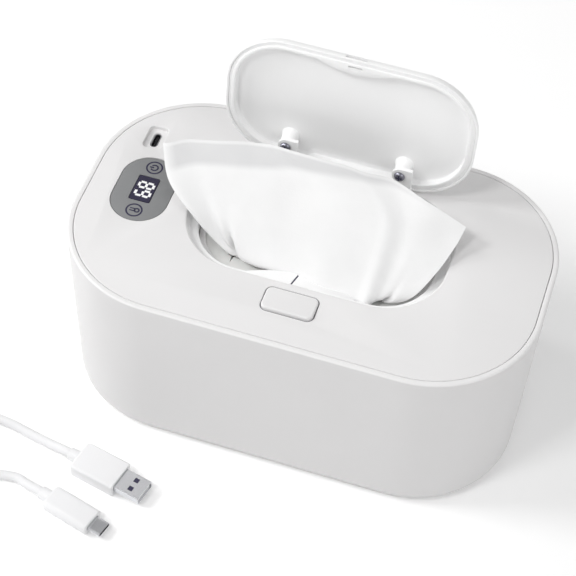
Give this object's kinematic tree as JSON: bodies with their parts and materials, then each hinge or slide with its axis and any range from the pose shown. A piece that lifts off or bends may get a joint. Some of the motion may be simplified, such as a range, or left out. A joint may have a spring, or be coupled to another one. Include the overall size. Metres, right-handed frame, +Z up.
{
  "type": "baby wipe warmer",
  "caption": "Warmer for baby wipes: rounded insulated tub, lift-off heated cover with a dispensing mouth, sprung flip lid, press button, touch display and USB-C inlet, with its lead",
  "frame": {"origin": "on the floor under the middle of the body, without the lead", "axes": "+X along the length of the body, away from the display; +Y to the back, where the lid is hinged; +Z up"},
  "size_m": [0.3068, 0.2013, 0.1679],
  "materials": {
    "shell": "moulded white, fine satin",
    "cover": "moulded white, satin",
    "lid": "moulded white, smooth",
    "tub": "moulded off-white",
    "silicone": "soft white silicone",
    "foam": "closed-cell insulation",
    "foot": "grey rubber",
    "steel": "bright steel",
    "lens": "grey translucent touch panel",
    "display": "dark navy display",
    "board": "green circuit board",
    "blackPlastic": "black moulding",
    "aluminium": "plain sheet",
    "film": "amber foil element",
    "wire": "insulated wire",
    "cloth": "soft non-woven cloth",
    "cable": "white cable jacket and plug mouldings"
  },
  "bodies": {
    "tub": {"outer_shell": "shell", "bottom_plate": "shell", "inner_tub": "tub", "insulation_sleeve": "foam", "foot_front_left": "foot", "foot_front_right": "foot", "foot_back_left": "foot", "foot_back_right": "foot", "base_screw_front_left": "steel", "base_screw_front_right": "steel", "base_screw_back_left": "steel", "base_screw_back_right": "steel", "tub_seal": "silicone", "usb_a_mould": "cable", "usb_a_shell": "steel", "usb_a_tongue": "cable", "usb_c_mould": "cable", "usb_c_shell": "steel", "usb_c_core": "blackPlastic", "cable_coil": "cable", "cable_to_usb_a": "cable", "cable_to_usb_c": "cable"},
    "cover": {"top_cover": "cover", "inner_cover": "cover", "cover_screw_front_left": "steel", "cover_screw_front_right": "steel", "cover_screw_back_left": "steel", "cover_screw_back_right": "steel", "heater_film": "film", "heater_plate": "aluminium", "temperature_sensor": "blackPlastic", "display_lens": "lens", "display_module": "display", "control_board": "board", "usb_socket_shell": "steel", "usb_socket_tongue": "blackPlastic", "heater_lead": "wire", "sensor_lead": "wire", "dispensing_insert": "silicone", "insert_ring": "cover", "hinge_pin_left": "steel", "lid_spring_left": "steel", "hinge_pin_right": "steel", "lid_spring_right": "steel", "button_spring_left": "steel", "button_spring_right": "steel", "wipe": "cloth"},
    "lid": {"lid_outer": "lid", "lid_inner": "lid", "lid_seal": "silicone", "hinge_arm_left": "lid", "lid_screw_left": "steel", "hinge_arm_right": "lid", "lid_screw_right": "steel"},
    "button": {"release_button": "cover"},
    "latch": {"latch_slide": "blackPlastic"}
  },
  "joints": [
    {"name": "cover_lift", "type": "slide", "parent": "tub", "child": "cover", "axis": [0, 0, 1], "range_m": [0, 0.06]},
    {"name": "lid_hinge", "type": "hinge", "parent": "cover", "child": "lid", "pos_m": [0, 0.0432, 0.0954], "axis": [1, 0, 0], "range_deg": [0, 95], "stiffness_Nm_per_rad": 0.009, "springref_deg": -20.05, "deforming": ["wipe"]},
    {"name": "button_press", "type": "slide", "parent": "cover", "child": "button", "axis": [0, 0, -1], "range_m": [0, 0.0016], "stiffness_N_per_m": 350, "springref_m": -0.0025, "deforming": ["button_spring_left", "button_spring_right"]},
    {"name": "latch_draw", "type": "slide", "parent": "cover", "child": "latch", "axis": [0, -1, 0], "range_m": [0, 0.0016]}
  ],
  "couplings": [
    {"joint": "latch_draw", "follows": "button_press", "ratio": 1}
  ]
}
